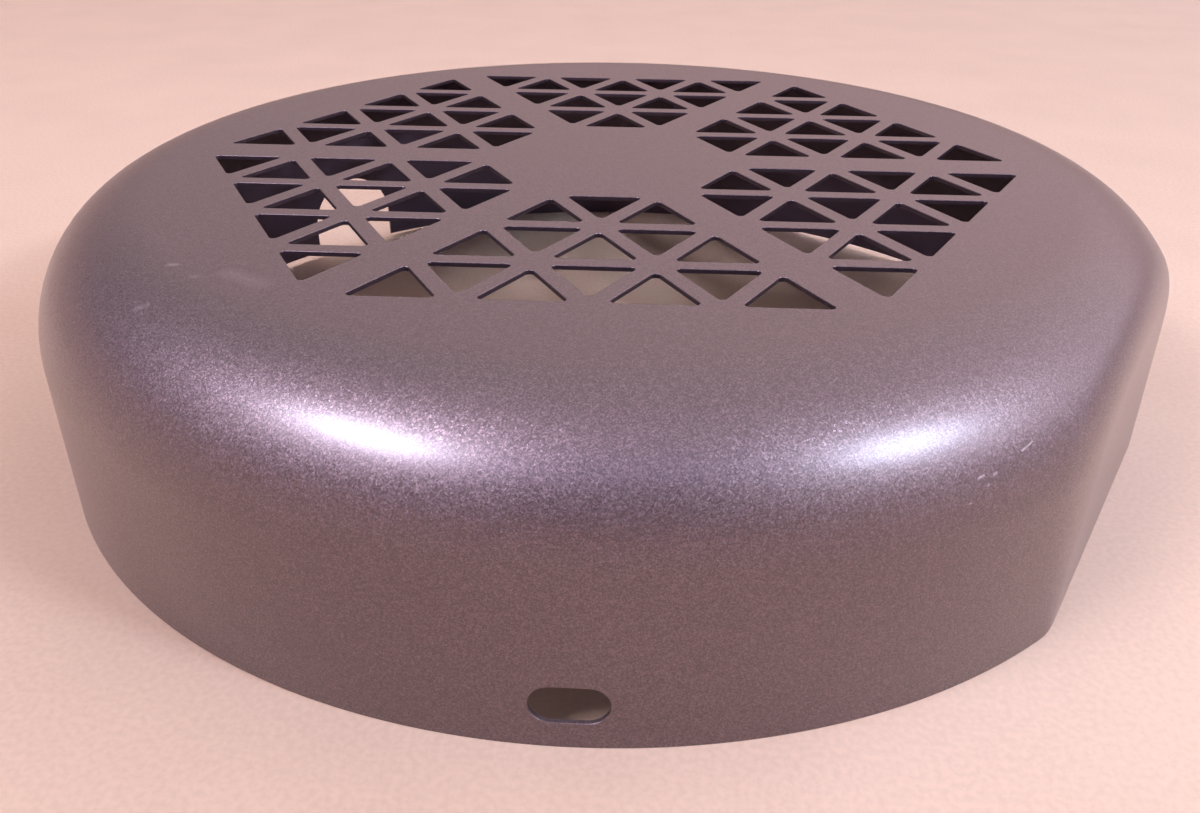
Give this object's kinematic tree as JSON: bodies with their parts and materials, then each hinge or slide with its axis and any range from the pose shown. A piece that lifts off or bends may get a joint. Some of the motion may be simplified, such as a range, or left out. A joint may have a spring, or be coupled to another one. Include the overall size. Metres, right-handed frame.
{
  "type": "motor fan cover",
  "caption": "Round drawn-steel fan cover for an electric motor: rounded shoulder, triangular-hole air grille in spoked sectors, side flat, skirt slots and a rim notch.",
  "frame": {"origin": "centre of the round skirt in the plane of the rim", "axes": "+Z along the cup axis from the rim towards the grille; two corners of the grille's hexagon lie on X"},
  "size_m": [0.2, 0.2, 0.045],
  "materials": {
    "cover_paint": "satin charcoal paint with fine metal flake"
  },
  "bodies": {
    "root": {"fan_cover": "cover_paint"}
  },
  "joints": []
}
